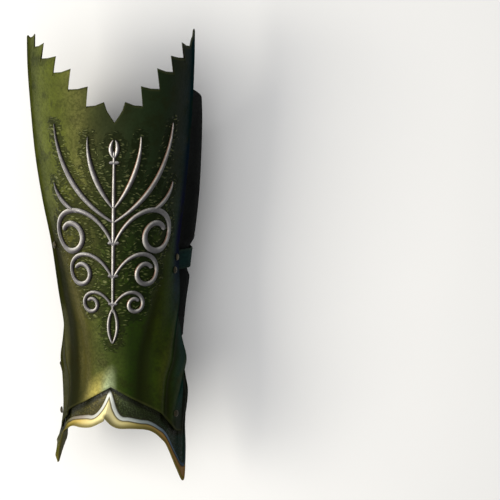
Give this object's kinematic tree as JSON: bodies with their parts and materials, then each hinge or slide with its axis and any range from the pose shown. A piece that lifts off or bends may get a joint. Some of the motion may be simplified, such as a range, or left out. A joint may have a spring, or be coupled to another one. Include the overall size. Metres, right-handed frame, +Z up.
{
  "type": "greave",
  "caption": "Leather shin guard with a serrated knee edge, fluted ankle, lipped instep plate, raised scrollwork, calf panel and buckled strap.",
  "frame": {"origin": "on the surface that the greave lies on, under the middle of its bounding box", "axes": "+X to the right of the leg as seen from the front, +Y up the leg from the ankle to the knee, +Z up from the surface, towards the front of the shin"},
  "size_m": [0.1522, 0.405, 0.1388],
  "materials": {
    "shell_leather": "dyed olive to dark green, semi-gloss",
    "plate_leather": "gold and green wash over dark leather, stippled",
    "panel_leather": "black, satin",
    "strap_leather": "dark teal green, satin",
    "ornament_silver": "silver, aged in the recesses",
    "fittings": "dark aged brass"
  },
  "bodies": {
    "root": {"shin_shell": "shell_leather", "ankle_plate": "plate_leather", "calf_panel": "panel_leather", "strap": "strap_leather", "buckle_strap": "strap_leather", "scroll_ornament": "ornament_silver", "buckle": "fittings", "strap_rivet_right_low": "fittings", "strap_rivet_right_high": "fittings", "strap_rivet_left": "fittings", "plate_rivet_right": "fittings", "plate_rivet_left": "fittings"}
  },
  "joints": []
}
